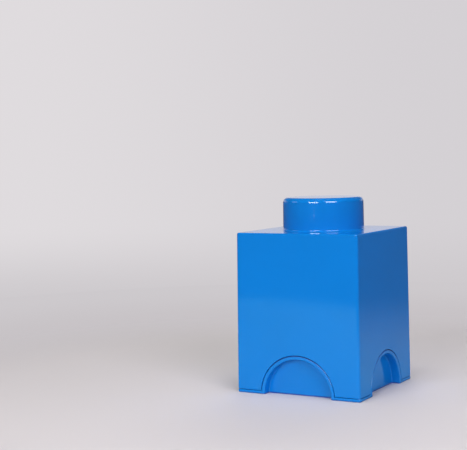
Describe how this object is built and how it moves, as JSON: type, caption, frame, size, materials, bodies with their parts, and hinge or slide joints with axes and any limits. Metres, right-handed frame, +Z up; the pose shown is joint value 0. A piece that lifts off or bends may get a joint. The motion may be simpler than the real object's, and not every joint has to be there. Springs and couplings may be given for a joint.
{
  "type": "brick-shaped storage box",
  "caption": "Stackable storage box shaped like a toy building brick: a deep hood with one round stud lifts off a tray with a finger recess in each side.",
  "frame": {"origin": "on the ground, under the middle of the box", "axes": "+Z up, along the stud's axis; +X and +Y square to two of the four like sides, with -Y the front"},
  "size_m": [0.125, 0.125, 0.181],
  "materials": {
    "hood_plastic": "glossy injection-moulded polypropylene, solid blue",
    "tray_plastic": "glossy injection-moulded polypropylene, solid blue, slightly softer gloss than the hood"
  },
  "bodies": {
    "tray_body": {"tray": "tray_plastic"},
    "hood_body": {"hood": "hood_plastic"}
  },
  "joints": [
    {"name": "hood_lift", "type": "slide", "parent": "tray_body", "child": "hood_body", "axis": [0, 0, 1], "range_m": [0, 0.16]}
  ]
}
